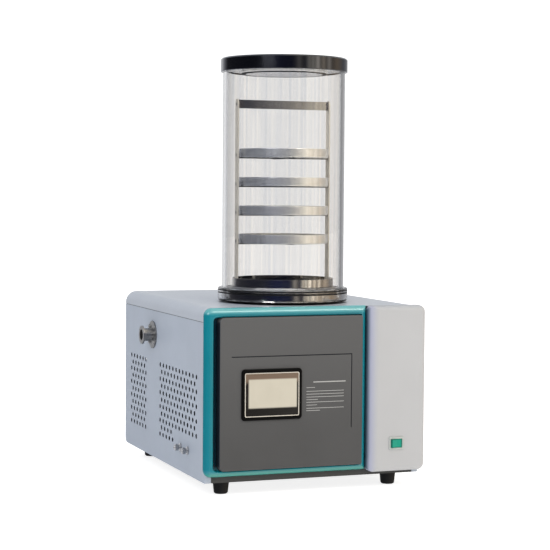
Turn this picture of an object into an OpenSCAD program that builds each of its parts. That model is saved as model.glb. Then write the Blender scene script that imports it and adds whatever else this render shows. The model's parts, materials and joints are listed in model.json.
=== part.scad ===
// Benchtop freeze dryer: a folded-sheet cabinet with a cold trap under its deck,
// a clear bell that stands over the trap, and a rack of four trays inside the bell.
// X runs to the right, Y runs to the back and Z up from the bench, in millimetres.

/* [Cabinet] */
// Width of the cabinet across its side panels
body_w = 474; // [440:1:600]
// Depth of the cabinet from its front corners to its rear edge
body_d = 595; // [570:1:760]
// Height of the deck above the bench
deck_h = 383; // [340:1:480]
// Thickness of the folded steel sheet
sheet_t = 1.2; // [1:0.1:2]
// Radius of the two long shoulders of the top cover
shoulder_r = 26; // [15:1:28]
// Distance from the deck down to the seam of the top cover
seam_drop = 29; // [29:1:60]
// Width of the folded returns at the vertical corners
return_w = 14; // [10:1:18]
// Gap left between neighbouring covers
seam_gap = 1; // [0.6:0.1:1.5]

/* [Front] */
// Width of the column cover on the right of the front
column_w = 129; // [100:1:156]
// Distance that the column cover stands out from the front corners
column_out = 26; // [22:1:34]
// Distance that the front panel stands out from the front corners
panel_out = 22; // [18:1:26]
// Distance that the bezel stands out from the front corners
bezel_out = 14; // [11:1:16]
// Width of the bezel's left side
bezel_side = 18.5; // [17:0.5:30]
// Width of the bezel's top side
bezel_top = 19; // [16:1:26]
// Width of the bezel's bottom side
bezel_foot = 13; // [11:1:18]
// Width of the screen housing
screen_w = 130; // [110:1:170]
// Height of the screen housing
screen_h = 104; // [90:1:130]

/* [Vents] */
// Diameter of the vent holes
vent_d = 10; // [5:0.5:11]
// Distance between vent holes along a row
vent_pitch = 23.4; // [20:0.2:28]
// Distance between vent rows
vent_row = 15.2; // [13:0.2:18]

/* [Port and valves] */
// Outer diameter of the vacuum port's clamp flange
port_flange_d = 40; // [30:1:55]
// Diameter of the bore through the vacuum port
port_bore_d = 24; // [16:1:26]
// Distance that the vacuum port stands out from the side panel
port_reach = 27; // [22:1:40]

/* [Bell] */
// Outer diameter of the clear bell
bell_d = 260; // [240:1:320]
// Wall thickness of the clear bell
bell_t = 8; // [5:0.5:10]
// Height of the bell from its seat to the top of its cap
bell_h = 511; // [420:1:620]

/* [Rack] */
// Outer diameter of a tray
tray_d = 192; // [160:1:200]
// Height of a tray's rim
tray_h = 19; // [14:1:24]
// Distance from one tray to the next
tray_pitch = 60.5; // [50:0.5:75]
// Number of trays in the rack
tray_count = 4; // [4]

/* [Cold trap] */
// Inner diameter of the cold trap
trap_d = 200; // [160:1:204]
// Height of the cold trap's floor above the bench
trap_floor = 133; // [112:1:180]

/* [Hidden] */

$fn = 64;
// A hair of extra length for cutting tools
cut = 1;
// Running clearance of a pin or spindle in its hole
pin_gap = 0.05;
// Clearance between round pieces that stand in one another
seat_gap = 0.3;

// Feet and chassis
foot_h = 29;
foot_top_d = 36;
foot_end_d = 29;
foot_inset_x = 50;
foot_inset_y = 44;
foot_screw_d = 6;
pan_t = 2;
pan_wall_h = 26;
pan_bottom = foot_h;
pan_top = pan_bottom + pan_t;
side_bottom = foot_h;
panel_inset = sheet_t + 0.2;
bend_r = 3;
panel_foot_r = 14;
plinth_back = 10;

// Front
side_x = body_w / 2;
fascia_over = 4;
bezel_left = -side_x - fascia_over;
bezel_bottom = foot_h + 12.5;
bezel_upper = deck_h + 1;
bezel_corner_r = 16;
bezel_edge_r = bezel_out - 2;
bezel_roll = 4;
bezel_floor = 2;
open_corner_r = 8;
column_left = side_x + fascia_over - column_w;
column_bottom = foot_h + 8;
column_r = 14;
column_edge_r = 10;
column_round = 22;
column_wall = 3;
bezel_right = column_left - seam_gap;
bezel_right_side = 11.5;
open_left = bezel_left + bezel_side;
open_right = bezel_right - bezel_right_side;
open_bottom = bezel_bottom + bezel_foot;
open_top = bezel_upper - bezel_top;
panel_gap = 9.5;
panel_left = open_left + panel_gap;
panel_fit = 0.5;
panel_right = open_right - panel_fit;
panel_bottom = open_bottom + panel_fit;
panel_top = open_top - panel_fit;
panel_w = panel_right - panel_left;
panel_h = panel_top - panel_bottom;
panel_corner_r = 11;
panel_right_r = 3.5;
panel_edge_r = 3;
panel_wall = 3;
// Engraved line on the front panel
groove_w = 2;
groove_deep = 1.8;
groove_left = panel_left + 25.5;
groove_right = panel_right - 24;
groove_z = panel_top - 79;
groove_drop = 152;

// Screen
screen_x = panel_left + 111;
screen_z = panel_bottom + 153;
screen_out = 4;
screen_r = 7;
trim_w = screen_w - 13;
trim_h = screen_h - 15;
trim_line = 1.5;
screen_body_w = screen_w - 12;
screen_body_h = screen_h - 12;
screen_body_deep = 30;
glass_t = 2;

// Rocker switch
switch_x = column_left + column_w / 2 - 2;
switch_z = column_bottom + 59;
switch_w = 33;
switch_h = 27;
switch_lip_t = 2;
switch_body_w = 29;
switch_body_h = 23;
switch_body_deep = 20;
rocker_w = 25.6;
rocker_h = 18;
rocker_tilt = 8;
rocker_pivot_in = 2;
rocker_pin_d = 3;
rocker_pin_out = 0.9;
rocker_face = rocker_pivot_in + switch_lip_t + 0.3;

// Vents: rows run up from the lowest one
vent_low = side_bottom + 58;
vent_rows = 11;
vent_front_y = 55;
vent_front_cols = 12;
vent_rear_y = body_d - 53;
vent_rear_cols = 6;
vent_short_rows = 2;
vent_short_cols = 5;

// Vacuum port
port_y = 369;
port_z = deck_h - 83;
port_plate_d = 60;
port_plate_t = 2.5;
port_tube_d = port_bore_d + 4;
port_flange_t = 5;
port_inner = 30;
port_screw_pcd = 48;
port_screw_d = 5;

// Valves on the left side
valve_z = side_bottom + 51;
vent_valve_y = 160;
drain_valve_y = 110;
valve_flange_d = 17;
valve_spindle_d = 6;
valve_knob_d = 14;
valve_reach = 15;

// Cold trap and the axis of bell and trap
trap_x = -8;
trap_y = 167;
trap_wall = 1.5;
trap_lip_r = trap_d / 2 + 16;
trap_bottom = trap_floor;
drain_spout = 12;
coil_d = 9.5;
coil_pitch = 14;
coil_low = trap_bottom + 26;
coil_turns = floor((port_z - port_tube_d / 2 - coil_d - coil_low) / coil_pitch);
coil_gap = 1.3;
coil_r = trap_d / 2 + trap_wall + coil_d / 2 + coil_gap;
foam_inner_r = coil_r + coil_d / 2 + 2;
foam_r = foam_inner_r + 32;
foam_under = 20;
drain_d = 10;

// Ring stack on the deck
ring_low_r = bell_d / 2 - 9.5;
ring_plate_t = 2;
ring_h = 6;
seat_z = deck_h + ring_h;
collar_r = bell_d / 2 - bell_t - 4.5;
collar_top = deck_h + 34;
flange_r = bell_d / 2 + 9;
flange_h = 25;
seal_d = 2.6;
seal_rise = [15, 20.5];
cap_r = bell_d / 2 + 5;
cap_h = 29;
cap_top = seat_z + bell_h;
cap_bottom = cap_top - cap_h;
cap_socket = 8;
cap_under = 1.5;
cap_boss_r = 91;
cap_boss_drop = 6;
cap_seal_w = 9;
cap_seal_t = 1.8;

// Rack
rack_r = tray_d / 2 + 12;
hoop_t = 2.5;
hoop_h = 17;
hoop_floor_w = 13;
post_t = 2.5;
post_w = 18;
post_x = sqrt(pow(rack_r - hoop_t, 2) - pow(post_w / 2, 2)) - post_t - 0.1;
rack_top = collar_top + 396;
bar_h = 18;
bar_t = 3;
bar_z = rack_top - bar_h - 2;
tray_t = 1;
top_tray_z = rack_top - 123.5;
support_t = 2;
support_w = 12;
support_arm = 52;
support_tab_h = 10;
rack_screw_d = 7;

// Fan, condenser and compressor at the back
fan_x = 70;
fan_z = 190;
fan_d = 200;
fan_deep = 42;
fan_hub_d = 60;
fan_blades = 5;
fan_back_y = body_d - sheet_t - seat_gap;
shroud_y = fan_back_y - fan_deep;
condenser_deep = 40;
condenser_y = shroud_y - condenser_deep - seat_gap;
condenser_w = 260;
condenser_h = 240;
compressor_x = -110;
compressor_y = 410;
compressor_d = 150;
compressor_h = 180;
mount_h = 14;
mount_reach = 52;

// Sockets on the rear panel
socket_lip_t = 2;
socket_x = -150;
inlet_z = 90;
pump_socket_z = 150;

// The model's origin is under the middle of its own bounding box
rocker_end = (sqrt(pow(rocker_w / 2, 2) * (1 + pow(tan(rocker_tilt), 2)) - pow(rocker_face, 2))
  - rocker_face * tan(rocker_tilt)) / (1 + pow(tan(rocker_tilt), 2));
rocker_front = column_out - rocker_pivot_in + rocker_end * sin(rocker_tilt)
  + (rocker_face + rocker_end * tan(rocker_tilt)) * cos(rocker_tilt);
shift_x = (port_reach - fascia_over) / 2;
shift_y = -(body_d + socket_lip_t - rocker_front) / 2;

// ---------- Helpers ----------

// Cabinet frame: x from the middle, y from the front corners, z from the bench
module in_cabinet() {
  translate([shift_x, shift_y, 0]) children();
}

// Bell frame: on the common axis of bell, rack and cold trap
module on_trap_axis() {
  in_cabinet() translate([trap_x, trap_y, 0]) children();
}

// Front frame: x and z drawn flat, thickness growing towards the user from depth y
module facing_front(x, y, z) {
  in_cabinet() translate([x, y, z]) rotate([90, 0, 0]) children();
}

// What is drawn along +Z points out of the left side panel, within the cabinet frame
module out_of_left(y, z) {
  translate([-side_x, y, z]) rotate([0, -90, 0]) children();
}

// The same, placed in the model
module facing_left(y, z) {
  in_cabinet() out_of_left(y, z) children();
}

// Flat rectangle with round corners, centred
module rounded_rect(w, h, r) {
  square([w - 2 * r, h], center = true);
  square([w, h - 2 * r], center = true);
  for (sx = [-1, 1], sy = [-1, 1])
    translate([sx * (w / 2 - r), sy * (h / 2 - r)]) circle(r = r);
}

// Slab with round corners and a rolled front edge
module soft_slab(w, h, t, corner_r, edge_r) {
  module rim() {
    square([corner_r - edge_r, t]);
    square([corner_r, t - edge_r]);
    translate([corner_r - edge_r, t - edge_r]) intersection() {
      circle(r = edge_r);
      square(edge_r);
    }
  }
  linear_extrude(t) square([w - 2 * corner_r, h - 2 * corner_r], center = true);
  for (a = [0, 180]) rotate(a) {
    translate([w / 2 - corner_r, h / 2 - corner_r, 0])
      rotate([90, 0, 0]) linear_extrude(h - 2 * corner_r) rim();
    translate([w / 2 - corner_r, h / 2 - corner_r, 0])
      rotate([90, 0, 90]) mirror([0, 0, 1]) linear_extrude(w - 2 * corner_r) rim();
    translate([w / 2 - corner_r, h / 2 - corner_r, 0]) rotate_extrude(angle = 90) rim();
    translate([w / 2 - corner_r, corner_r - h / 2, 0])
      rotate(-90) rotate_extrude(angle = 90) rim();
  }
}

// What rounding takes off a square edge: the edge is at the origin, its solid towards +X and -Y
module edge_waste(r) {
  difference() {
    translate([-cut, -r]) square([r + cut, r + cut]);
    translate([r, -r]) circle(r = r);
  }
}

// Outline with round corners on its left and square ones on its right, centred
module half_rounded(w, h, r) {
  rounded_rect(w, h, r);
  translate([0, -h / 2]) square([w / 2, h]);
}

// Cut from low up to the face at t, its mouth rounded on every side but the right
module rolled_cut(w, h, r, low, t, roll) {
  translate([0, 0, low]) linear_extrude(t - low + cut) half_rounded(w, h, r);
  translate([-w / 2, h / 2 - r, t]) rotate([90, 0, 0]) linear_extrude(h - 2 * r)
    mirror([1, 0]) edge_waste(roll);
  for (side = [0, 1]) mirror([0, side, 0]) {
    translate([r - w / 2, h / 2, t]) rotate([90, 0, 90]) linear_extrude(w - r) edge_waste(roll);
    translate([r - w / 2, h / 2 - r, t]) rotate(90) rotate_extrude(angle = 90)
      translate([r, 0]) edge_waste(roll);
  }
}

// Flat ring
module ring(outer_r, inner_r, h) {
  difference() {
    cylinder(r = outer_r, h = h);
    translate([0, 0, -cut]) cylinder(r = inner_r, h = h + 2 * cut);
  }
}

// Staggered field of round holes, drawn flat: x is depth, y is height
module vent_field(first_y, cols, rows, low_z, towards) {
  for (row = [0 : rows - 1]) {
    odd = row % 2;
    for (col = [0 : cols - 1 - odd])
      translate([first_y + towards * (col + odd / 2) * vent_pitch, low_z + row * vent_row])
        circle(d = vent_d);
  }
}

// ---------- Chassis ----------

module base_pan() {
  w = body_w - 2 * panel_inset;
  deep = body_d - 2 * panel_inset - plinth_back;
  front_w = body_w - 2 * return_w - 2 * seam_gap;
  color("dimgray") in_cabinet() difference() {
    union() {
      translate([0, panel_inset + deep / 2, pan_bottom]) linear_extrude(pan_wall_h)
        rounded_rect(w, deep, bend_r);
      translate([-front_w / 2, 0, pan_bottom]) cube([front_w, pan_t + sheet_t, pan_wall_h]);
    }
    translate([-w / 2 + pan_t, panel_inset + pan_t, pan_bottom + pan_t])
      cube([w - 2 * pan_t, deep - 2 * pan_t, pan_wall_h]);
    for (sx = [-1, 1], y = [foot_inset_y, body_d - foot_inset_y])
      translate([sx * (side_x - foot_inset_x), y, pan_bottom - cut])
        cylinder(d = foot_screw_d + 0.5, h = pan_t + 2 * cut);
    // Slots that let air in under the condenser
    for (i = [0 : 8])
      translate([fan_x - 96 + i * 24, body_d - 190, pan_bottom - cut]) linear_extrude(pan_t + 2 * cut)
        rounded_rect(8, 110, 3.9);
  }
}

// Plan of a side panel: the skin, bent round the front corner into its return
module side_plan(inset) {
  r = bend_r - inset;
  translate([inset - side_x, inset + r]) square([return_w, body_d]);
  translate([inset - side_x + r, inset]) square([return_w, body_d]);
  translate([inset - side_x + r, inset + r]) circle(r = r);
}

// One side panel: the bent skin with a round lower rear corner, and a joggled lip at the seam
module side_panel_shell() {
  skin_h = deck_h - seam_drop - seam_gap / 2 - side_bottom;
  difference() {
    translate([0, 0, side_bottom]) linear_extrude(skin_h) intersection() {
      difference() {
        side_plan(0);
        side_plan(sheet_t);
      }
      translate([-side_x, 0]) square([return_w, body_d]);
    }
    translate([-side_x - cut, body_d, side_bottom]) rotate([90, 0, 90])
      linear_extrude(sheet_t + 2 * cut) rotate(180) edge_waste(panel_foot_r);
  }
  lip_low = side_bottom + skin_h - 6;
  translate([-side_x + sheet_t, bend_r, lip_low])
    cube([sheet_t, body_d - bend_r - 2 * sheet_t - 1, deck_h - shoulder_r - lip_low]);
}

module left_side_panel() {
  color("lightsteelblue") in_cabinet() difference() {
    side_panel_shell();
    translate([-side_x - cut, 0, 0]) rotate([90, 0, 90]) linear_extrude(sheet_t + 2 * cut)
      left_vents();
    for (y = [vent_valve_y, drain_valve_y])
      translate([-side_x - cut, y, valve_z]) rotate([0, 90, 0])
        cylinder(d = valve_spindle_d + 4.6, h = sheet_t + 2 * cut);
    translate([-side_x - cut, port_y, port_z]) rotate([0, 90, 0])
      cylinder(d = port_tube_d + 2, h = sheet_t + 2 * cut);
    out_of_left(port_y, port_z) port_screw_places() translate([0, 0, -sheet_t - cut])
      cylinder(d = port_screw_d - 1, h = sheet_t + 2 * cut);
  }
}

// The lowest rows of the front field stop short, to leave room for the valves
module left_vents() {
  vent_field(vent_rear_y, vent_rear_cols, vent_rows, vent_low, -1);
  full = vent_rows - vent_short_rows;
  vent_field(vent_front_y, vent_front_cols, full, vent_low + vent_short_rows * vent_row, 1);
  back_y = vent_front_y + (vent_front_cols - 1) * vent_pitch;
  vent_field(back_y, vent_short_cols, vent_short_rows, vent_low, -1);
}

module right_side_panel() {
  color("lightsteelblue") in_cabinet() difference() {
    mirror([1, 0, 0]) side_panel_shell();
    translate([side_x - sheet_t - cut, 0, 0]) rotate([90, 0, 90])
      linear_extrude(sheet_t + 2 * cut) {
        vent_field(vent_rear_y, vent_rear_cols, vent_rows, vent_low, -1);
        vent_field(vent_front_y, vent_front_cols, vent_rows, vent_low, 1);
      }
  }
}

// Section of the top cover, open below, drawn as seen from the front
module cover_outline(inset) {
  low = deck_h - seam_drop + seam_gap / 2;
  r = shoulder_r - inset;
  translate([-side_x + inset, low - inset]) square([body_w - 2 * inset, deck_h - low - r]);
  translate([-side_x + shoulder_r, low - inset])
    square([body_w - 2 * shoulder_r, deck_h - low]);
  for (sx = [-1, 1]) translate([sx * (side_x - shoulder_r), deck_h - shoulder_r])
    circle(r = r);
}

module top_cover() {
  color("gainsboro") in_cabinet() difference() {
    translate([0, body_d, 0]) rotate([90, 0, 0]) linear_extrude(body_d) difference() {
      cover_outline(0);
      cover_outline(sheet_t);
      translate([-side_x, deck_h - seam_drop - shoulder_r])
        square([body_w, shoulder_r + seam_gap / 2]);
    }
    translate([trap_x, trap_y, deck_h - sheet_t - cut])
      cylinder(r = trap_d / 2 + trap_wall + seat_gap, h = sheet_t + 2 * cut);
  }
}

// Radial slots of the fan grille, in three rings
module grille_slots() {
  for (band = [0 : 2]) {
    inner = 26 + band * 25;
    count = 12 + band * 8;
    for (i = [0 : count - 1]) rotate(i * 360 / count)
      translate([inner + 9.5, 0]) rounded_rect(19, 6, 2.9);
  }
}

module rear_panel() {
  w = body_w - 2 * panel_inset;
  top_r = shoulder_r - panel_inset;
  low = side_bottom + plinth_back;
  h = deck_h - panel_inset - low;
  color("lightsteelblue") in_cabinet() translate([0, body_d, 0]) rotate([90, 0, 0])
    linear_extrude(sheet_t) difference() {
      union() {
        translate([-w / 2, low]) square([w, h - top_r]);
        translate([-w / 2 + top_r, low]) square([w - 2 * top_r, h]);
        for (sx = [-1, 1]) translate([sx * (w / 2 - top_r), low + h - top_r]) circle(r = top_r);
      }
      translate([fan_x, fan_z]) grille_slots();
      translate([socket_x, inlet_z]) rounded_rect(27.4, 20.4, 2);
      translate([socket_x, pump_socket_z]) rounded_rect(27.4, 20.4, 2);
      for (i = [0 : 7], j = [0 : 1]) translate([socket_x - 35 + i * 10, 240 + j * 50])
        rounded_rect(5, 40, 2.4);
    }
}

// ---------- Feet ----------

module foot(sx, y) {
  x = sx * (side_x - foot_inset_x);
  color([0.1, 0.1, 0.1]) in_cabinet() translate([x, y, 0]) difference() {
    rotate_extrude() polygon([[0, 0], [foot_end_d / 2 - 2, 0], [foot_end_d / 2, 2],
      [foot_top_d / 2 - 1, foot_h - 5], [foot_top_d / 2, foot_h - 4], [foot_top_d / 2, foot_h],
      [0, foot_h]]);
    // Recess that hides the screw head, and the screw's clearance hole
    translate([0, 0, -cut]) cylinder(d = 14, h = 8 + cut);
    translate([0, 0, -cut]) cylinder(d = foot_screw_d + 0.6, h = foot_h + 2 * cut);
  }
}

module foot_front_left() { foot(-1, foot_inset_y); }
module foot_front_right() { foot(1, foot_inset_y); }
module foot_rear_left() { foot(-1, body_d - foot_inset_y); }
module foot_rear_right() { foot(1, body_d - foot_inset_y); }

module foot_screws() {
  color("silver") in_cabinet()
    for (sx = [-1, 1], y = [foot_inset_y, body_d - foot_inset_y])
      translate([sx * (side_x - foot_inset_x), y, 4]) {
        cylinder(d = 11, h = 4);
        cylinder(d = foot_screw_d, h = foot_h + pan_t + 1);
        translate([0, 0, foot_h + pan_t - 4]) cylinder(d = 11, h = 5, $fn = 6);
      }
}

// ---------- Front ----------

module front_bezel() {
  // The frame is drawn wider and cut off square beside the column cover
  hidden = 2 * bezel_corner_r;
  w = bezel_right - bezel_left + hidden;
  h = bezel_upper - bezel_bottom;
  color([0.05, 0.5, 0.54]) difference() {
    facing_front((bezel_left + bezel_right + hidden) / 2, 0, (bezel_bottom + bezel_upper) / 2)
      soft_slab(w, h, bezel_out, bezel_corner_r, bezel_edge_r);
    facing_front((open_left + open_right) / 2, 0, (open_bottom + open_top) / 2)
      rolled_cut(open_right - open_left, open_top - open_bottom, open_corner_r, bezel_floor,
        bezel_out, bezel_roll);
    // Only a thin floor is left in the channel beside the front panel
    facing_front((panel_left + panel_right) / 2, cut, (panel_bottom + panel_top) / 2)
      linear_extrude(bezel_floor + 2 * cut) half_rounded(panel_w + 2 * panel_fit,
        panel_h + 2 * panel_fit, panel_corner_r + panel_fit);
    in_cabinet() translate([bezel_right, -bezel_out - cut, bezel_bottom - cut])
      cube([hidden + cut, bezel_out + 2 * cut, h + 2 * cut]);
    // The right side falls away in a curve towards the column cover
    facing_front(bezel_right, 0, bezel_upper + cut) translate([0, 0, bezel_out])
      rotate([90, 0, 0]) linear_extrude(h + 2 * cut) mirror([1, 0]) edge_waste(bezel_edge_r);
  }
}

module front_panel() {
  mid_x = (panel_left + panel_right) / 2;
  mid_z = (panel_bottom + panel_top) / 2;
  color([0.38, 0.38, 0.38]) difference() {
    union() {
      facing_front(mid_x, 0, mid_z)
        soft_slab(panel_w, panel_h, panel_out, panel_corner_r, panel_edge_r);
      // The corners beside the column cover are nearly square
      facing_front(mid_x + panel_w / 4, 0, mid_z)
        soft_slab(panel_w / 2, panel_h, panel_out, panel_right_r, panel_edge_r);
    }
    // Moulded shell, hollow behind
    facing_front(mid_x, cut, mid_z) linear_extrude(panel_out - panel_wall + cut)
      rounded_rect(panel_w - 2 * panel_wall, panel_h - 2 * panel_wall, panel_corner_r - panel_wall);
    // Engraved line: along the top and down the right of the screen's field
    facing_front(0, -panel_out + groove_deep, 0) linear_extrude(groove_deep + cut) {
      translate([groove_left, groove_z - groove_w / 2])
        square([groove_right - groove_left, groove_w]);
      translate([groove_right - groove_w, groove_z - groove_drop]) square([groove_w, groove_drop]);
    }
    // Window for the screen's body
    facing_front(screen_x, cut, screen_z) linear_extrude(panel_out + 2 * cut)
      rounded_rect(screen_body_w + 1, screen_body_h + 1, 2);
  }
}

// Solid form of the column cover, smaller by inset all round, from back behind its rear face.
// Its left edge is rounded far more than the others.
module column_form(inset, back) {
  h = deck_h - column_bottom;
  facing_front(column_left + column_w / 2, back, column_bottom + h / 2) difference() {
    soft_slab(column_w - 2 * inset, h - 2 * inset, column_out - inset + back,
      column_r - inset, column_edge_r - inset);
    translate([inset - column_w / 2, h / 2 + cut, column_out - inset + back])
      rotate([90, 0, 0]) linear_extrude(h + 2 * cut) edge_waste(column_round - inset);
  }
}

module column_cover() {
  color("gainsboro") difference() {
    column_form(0, 0);
    column_form(column_wall, cut);
    facing_front(switch_x, cut, switch_z) linear_extrude(column_out + 2 * cut)
      rounded_rect(switch_body_w + 0.6, switch_body_h + 0.6, 1);
  }
}

// Black housing of the touch screen: a flange on the panel and a body behind it
module screen_housing() {
  color([0.08, 0.08, 0.08]) difference() {
    union() {
      facing_front(screen_x, -panel_out, screen_z)
        soft_slab(screen_w, screen_h, screen_out, screen_r, 2);
      facing_front(screen_x, -panel_out + screen_body_deep, screen_z)
        linear_extrude(screen_body_deep) rounded_rect(screen_body_w, screen_body_h, 2);
    }
    // Recess that holds the trim and the glass
    facing_front(screen_x, -panel_out - screen_out + glass_t, screen_z)
      linear_extrude(glass_t + cut) rounded_rect(trim_w + 0.4, trim_h + 0.4, 3);
  }
}

module screen_trim() {
  color("silver") facing_front(screen_x, -panel_out - screen_out + glass_t, screen_z)
    linear_extrude(glass_t + 0.4) difference() {
      rounded_rect(trim_w, trim_h, 3);
      rounded_rect(trim_w - 2 * trim_line, trim_h - 2 * trim_line, 2);
    }
}

module screen_glass() {
  color([0.85, 0.8, 0.72]) facing_front(screen_x, -panel_out - screen_out + glass_t, screen_z)
    linear_extrude(glass_t - 0.3)
    rounded_rect(trim_w - 2 * trim_line - 0.3, trim_h - 2 * trim_line - 0.3, 2);
}

// Switch body with its lip, open in front, and two holes for the rocker's pins
module switch_frame() {
  color([0.75, 0.75, 0.72]) difference() {
    union() {
      facing_front(switch_x, -column_out, switch_z) soft_slab(switch_w, switch_h, switch_lip_t, 2, 1);
      facing_front(switch_x, -column_out + switch_body_deep, switch_z)
        linear_extrude(switch_body_deep) rounded_rect(switch_body_w, switch_body_h, 1);
    }
    facing_front(switch_x, -column_out + switch_body_deep - 3, switch_z)
      linear_extrude(switch_body_deep + switch_lip_t)
      square([rocker_w + 0.8, rocker_h + 0.8], center = true);
    rocker_axle(rocker_pin_d / 2 + pin_gap, rocker_pin_out + 0.3);
  }
}

// The rocker's pivot pins, along Z through the middle of the switch
module rocker_axle(r, extra) {
  length = rocker_h + 2 * extra;
  in_cabinet() translate([switch_x, -column_out + rocker_pivot_in, switch_z - length / 2])
    cylinder(r = r, h = length);
}

// Rocker: its ends are arcs about the pivot, and its two faces meet in a shallow valley.
// It rests with its right end pressed in.
module rocker_outline() {
  reach = rocker_w;
  ear = rocker_face + reach * tan(rocker_tilt);
  rotate(-rocker_tilt) intersection() {
    circle(d = rocker_w);
    polygon([[-reach, -6], [reach, -6], [reach, ear], [0, rocker_face], [-reach, ear]]);
  }
}

module power_rocker() {
  color([0.08, 0.66, 0.53]) {
    in_cabinet() translate([switch_x, -column_out + rocker_pivot_in, switch_z - rocker_h / 2])
      mirror([0, 1, 0]) linear_extrude(rocker_h) rocker_outline();
    rocker_axle(rocker_pin_d / 2, rocker_pin_out);
  }
}

// ---------- Vacuum port and valves on the left side ----------

module port_plate() {
  color("silver") difference() {
    facing_left(port_y, port_z) ring(port_plate_d / 2, port_tube_d / 2 + seat_gap, port_plate_t);
    facing_left(port_y, port_z) port_screw_places() translate([0, 0, -cut])
      cylinder(d = port_screw_d - 1.5, h = port_plate_t + 2 * cut);
  }
}

module port_screw_places() {
  for (i = [0 : 3]) rotate(45 + i * 90) translate([port_screw_pcd / 2, 0, 0]) children();
}

// Clamp-flange nipple: bored tube, an outer flange with a 15-degree back and an inner stub
module port_nipple() {
  bore = port_bore_d / 2;
  tube = port_tube_d / 2;
  lip = port_flange_d / 2;
  color("silver") facing_left(port_y, port_z) translate([0, 0, -port_inner]) rotate_extrude()
    polygon([[bore, 0], [tube, 0], [tube, port_inner + port_reach - port_flange_t],
      [lip, port_inner + port_reach - port_flange_t + (lip - tube) * tan(15)],
      [lip, port_inner + port_reach], [bore, port_inner + port_reach]]);
}

module port_screws() {
  color("silver") facing_left(port_y, port_z) port_screw_places() {
    translate([0, 0, -6]) cylinder(d = port_screw_d - 1.6, h = 6 + port_plate_t);
    translate([0, 0, port_plate_t]) difference() {
      cylinder(d = port_screw_d + 3, h = 2.6);
      translate([0, 0, 1.2]) cylinder(d = 3.4, h = 2, $fn = 6);
    }
  }
}

// Small bulkhead valve: flange and neck outside, threaded stem and nut inside
module valve_body(y) {
  color("silver") facing_left(y, valve_z) difference() {
    translate([0, 0, -22]) rotate_extrude() polygon([[0, 0], [4, 0], [4, 10], [5, 11], [5, 22],
      [valve_flange_d / 2, 22], [valve_flange_d / 2, 24], [valve_flange_d / 2 - 1, 25],
      [4.8, 25], [4.8, 27.5], [0, 27.5]]);
    // Bore for the knob's spindle
    translate([0, 0, -4]) cylinder(d = valve_spindle_d - 2 + 2 * pin_gap, h = 12);
  }
}

// Knurled knob on its spindle, with a bored nose for the hose
module valve_knob(y) {
  r = valve_knob_d / 2;
  color("silver") facing_left(y, valve_z) difference() {
    union() {
      translate([0, 0, -3]) cylinder(d = valve_spindle_d - 2, h = 10);
      translate([0, 0, 6]) rotate_extrude() polygon([[0, 0], [r - 1, 0], [r, 1],
        [r, valve_reach - 9], [r - 1, valve_reach - 8], [4, valve_reach - 8],
        [3.4, valve_reach - 6], [0, valve_reach - 6]]);
    }
    for (i = [0 : 11]) rotate(i * 30) translate([r + 0.6, 0, 6.5])
      cylinder(d = 2.2, h = valve_reach - 8.8);
    translate([0, 0, valve_reach - 8]) cylinder(d = 3, h = 9);
  }
}

module vent_valve_body() { valve_body(vent_valve_y); }
module vent_valve_knob() { valve_knob(vent_valve_y); }
module drain_valve_body() { valve_body(drain_valve_y); }
module drain_valve_knob() { valve_knob(drain_valve_y); }

// ---------- Cold trap ----------

// Deep-drawn pot with a flat lip on the deck, a dished floor and a drain spout
module cold_trap_pot() {
  r = trap_d / 2;
  color("silver") on_trap_axis() difference() {
    rotate_extrude() polygon([[drain_d / 2 - trap_wall, trap_bottom - drain_spout],
      [drain_d / 2, trap_bottom - drain_spout], [drain_d / 2, trap_bottom], [r - 12, trap_bottom + 4],
      [r - 2, trap_bottom + 9], [r + trap_wall, trap_bottom + 18], [r + trap_wall, deck_h],
      [trap_lip_r, deck_h], [trap_lip_r, deck_h + trap_wall], [r, deck_h + trap_wall],
      [r, trap_bottom + 19], [r - 3, trap_bottom + 10.5], [r - 13, trap_bottom + 5.5],
      [drain_d / 2 - trap_wall, trap_bottom + 1.5]]);
    // Vacuum outlet in the left wall
    translate([-r - trap_wall - cut, 0, port_z]) rotate([0, 90, 0])
      cylinder(d = port_bore_d, h = trap_wall + 12);
  }
}

// Helix of refrigerant tube round the pot, as one swept skin
module evaporator_coil() {
  sides = 8;
  rings_per_turn = 24;
  rings = coil_turns * rings_per_turn;
  ends = [for (k = [sides - 1 : -1 : 0]) k];
  pts = [for (i = [0 : rings], k = [0 : sides - 1])
    let (a = i * 360 / rings_per_turn, b = k * 360 / sides, rad = coil_r + coil_d / 2 * cos(b))
    [rad * cos(a), rad * sin(a), coil_low + i * coil_pitch / rings_per_turn + coil_d / 2 * sin(b)]];
  skin = [for (i = [0 : rings - 1], k = [0 : sides - 1])
    let (n = (k + 1) % sides)
    [i * sides + k, i * sides + n, (i + 1) * sides + n, (i + 1) * sides + k]];
  caps = [[for (k = [0 : sides - 1]) rings * sides + k], ends];
  color("peru") on_trap_axis() polyhedron(points = pts, faces = concat(skin, caps));
}

// Foamed block round the pot and its coil, with holes for both pipes
module trap_insulation() {
  top = deck_h - sheet_t - seat_gap;
  low = trap_bottom - foam_under;
  color("khaki") on_trap_axis() difference() {
    translate([0, 0, low]) cylinder(r = foam_r, h = top - low);
    translate([0, 0, trap_bottom - 1]) cylinder(r = foam_inner_r, h = top - trap_bottom + 2);
    translate([0, 0, low - cut]) cylinder(d = drain_d + 2 * seat_gap, h = foam_under + cut);
    translate([-foam_r - cut, 0, port_z]) rotate([0, 90, 0])
      cylinder(d = port_tube_d + 2 * seat_gap, h = foam_r);
  }
}

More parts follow.
